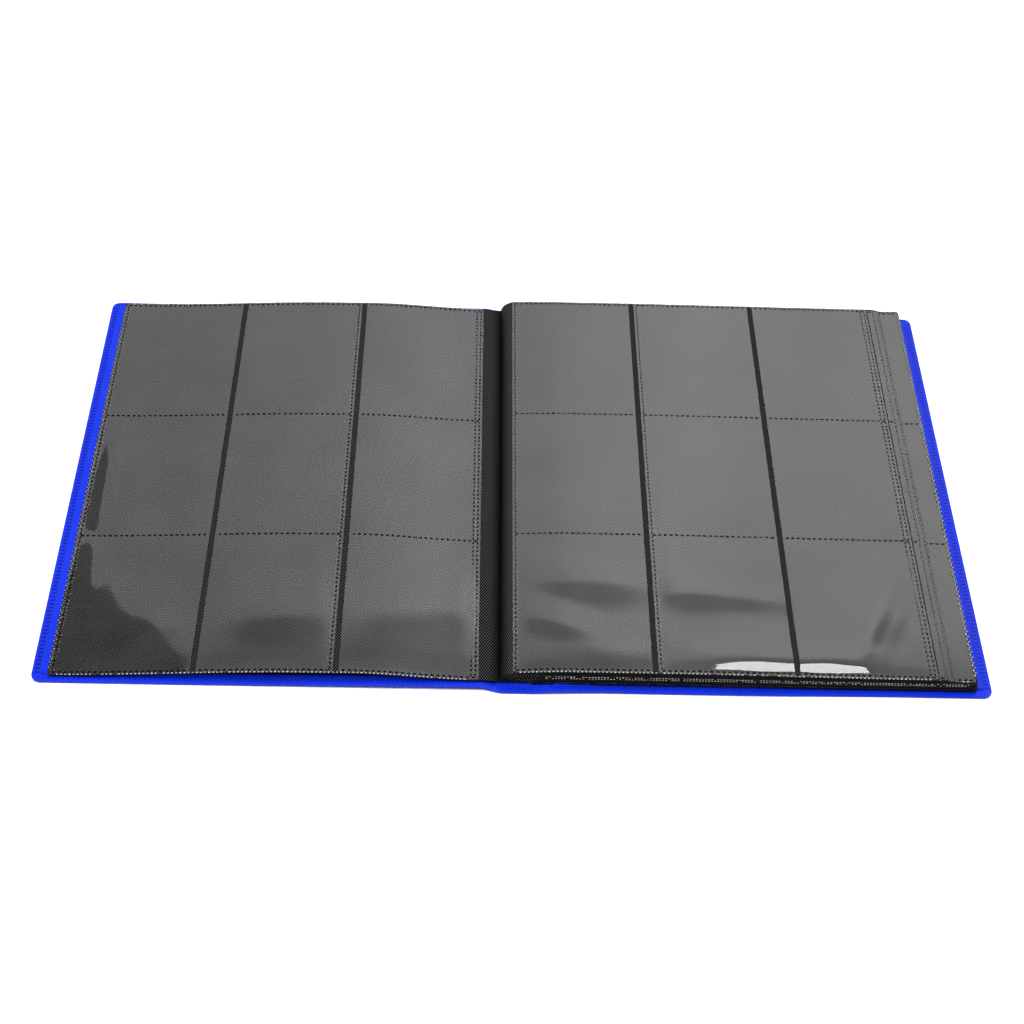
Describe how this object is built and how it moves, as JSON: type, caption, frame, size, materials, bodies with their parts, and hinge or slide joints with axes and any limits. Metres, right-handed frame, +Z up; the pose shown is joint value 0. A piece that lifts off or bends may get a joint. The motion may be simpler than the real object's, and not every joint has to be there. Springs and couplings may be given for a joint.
{
  "type": "card album",
  "caption": "Open side-loading card album: hinged three-panel cover in blue plastic film with black nine-pocket pages under clear film, bound to the spine",
  "frame": {"origin": "on the table under the middle of the open album, at the spine's middle line", "axes": "+X across the open album to the back cover's fore edge, +Y along the spine away from the reader, +Z up"},
  "size_m": [0.4742, 0.291, 0.0103],
  "materials": {
    "cover_film": "blue welded polypropylene, satin",
    "cover_board": "grey board sealed inside the cover",
    "page_backing": "black polypropylene embossed with a fine twill",
    "page_film": "clear glossy pocket film",
    "page_laminate": "black backing with clear film welded on both sides",
    "binding": "black binding tape"
  },
  "bodies": {
    "back_cover": {"back_outer_skin": "cover_film", "back_lining": "cover_film", "back_board": "cover_board", "back_hinge_strip": "cover_film"},
    "spine": {"spine_outer_skin": "cover_film", "spine_lining": "cover_film", "spine_board": "cover_board", "binding_tape": "binding"},
    "front_cover": {"front_outer_skin": "cover_film", "front_lining": "cover_film", "front_board": "cover_board", "front_hinge_strip": "cover_film"},
    "page_01": {"page_01_backing": "page_backing", "page_01_front_film_1": "page_film", "page_01_back_film_1": "page_film", "page_01_front_film_2": "page_film", "page_01_back_film_2": "page_film", "page_01_front_film_3": "page_film", "page_01_back_film_3": "page_film", "page_01_margin": "page_backing"},
    "page_02": {"page_02_backing": "page_backing", "page_02_front_film_1": "page_film", "page_02_back_film_1": "page_film", "page_02_front_film_2": "page_film", "page_02_back_film_2": "page_film", "page_02_front_film_3": "page_film", "page_02_back_film_3": "page_film", "page_02_margin": "page_backing"},
    "page_03": {"page_03": "page_laminate", "page_03_margin": "page_backing"},
    "page_04": {"page_04": "page_laminate", "page_04_margin": "page_backing"},
    "upper_binding": {"page_05": "page_laminate", "page_05_margin": "page_backing"},
    "signature_2": {"page_06": "page_laminate", "page_07": "page_laminate", "page_08": "page_laminate", "page_09": "page_laminate", "page_10": "page_laminate", "signature_2_margin": "page_backing"},
    "signature_3": {"page_11": "page_laminate", "page_12": "page_laminate", "page_13": "page_laminate", "page_14": "page_laminate", "page_15": "page_laminate", "signature_3_margin": "page_backing"},
    "signature_4": {"page_16": "page_laminate", "page_17": "page_laminate", "page_18": "page_laminate", "page_19": "page_laminate", "page_20": "page_laminate", "signature_4_margin": "page_backing"}
  },
  "joints": [
    {"name": "album_close", "type": "hinge", "parent": "back_cover", "child": "spine", "pos_m": [0.01, 0, 0.0011], "axis": [0, 1, 0], "range_deg": [0, 90]},
    {"name": "front_cover_fold", "type": "hinge", "parent": "spine", "child": "front_cover", "pos_m": [-0.01, 0, 0.0011], "axis": [0, 1, 0], "range_deg": [0, 90]},
    {"name": "page_01_turn", "type": "hinge", "parent": "front_cover", "child": "page_01", "pos_m": [-0.0025, 0, 0.00778], "axis": [0, -1, 0], "range_deg": [-180, 0], "deforming": ["page_01_margin"]},
    {"name": "signature_4_turn", "type": "hinge", "parent": "back_cover", "child": "signature_4", "pos_m": [-0.0025, 0, 0.00916], "axis": [0, 1, 0], "range_deg": [-180, 0], "deforming": ["signature_4_margin"]},
    {"name": "signature_3_turn", "type": "hinge", "parent": "signature_4", "child": "signature_3", "pos_m": [-0.0025, 0, 0.00916], "axis": [0, 1, 0], "range_deg": [-180, 0], "deforming": ["signature_3_margin"]},
    {"name": "signature_2_turn", "type": "hinge", "parent": "signature_3", "child": "signature_2", "pos_m": [-0.0025, 0, 0.00916], "axis": [0, 1, 0], "range_deg": [-180, 0], "deforming": ["signature_2_margin"]},
    {"name": "upper_pages_shift", "type": "slide", "parent": "signature_2", "child": "upper_binding", "axis": [1, 0, 0], "range_m": [0, 0.0132], "deforming": ["page_05_margin"]},
    {"name": "page_04_turn", "type": "hinge", "parent": "upper_binding", "child": "page_04", "pos_m": [-0.0025, 0, 0.00916], "axis": [0, 1, 0], "range_deg": [-180, 0], "deforming": ["page_04_margin"]},
    {"name": "page_03_turn", "type": "hinge", "parent": "page_04", "child": "page_03", "pos_m": [-0.0025, 0, 0.00916], "axis": [0, 1, 0], "range_deg": [-180, 0], "deforming": ["page_03_margin"]},
    {"name": "page_02_turn", "type": "hinge", "parent": "page_03", "child": "page_02", "pos_m": [-0.0025, 0, 0.00916], "axis": [0, 1, 0], "range_deg": [-180, 0], "deforming": ["page_02_margin"]}
  ],
  "couplings": [
    {"joint": "front_cover_fold", "follows": "album_close", "ratio": 1},
    {"joint": "upper_pages_shift", "follows": "album_close", "m_per_rad": 0.008402}
  ]
}
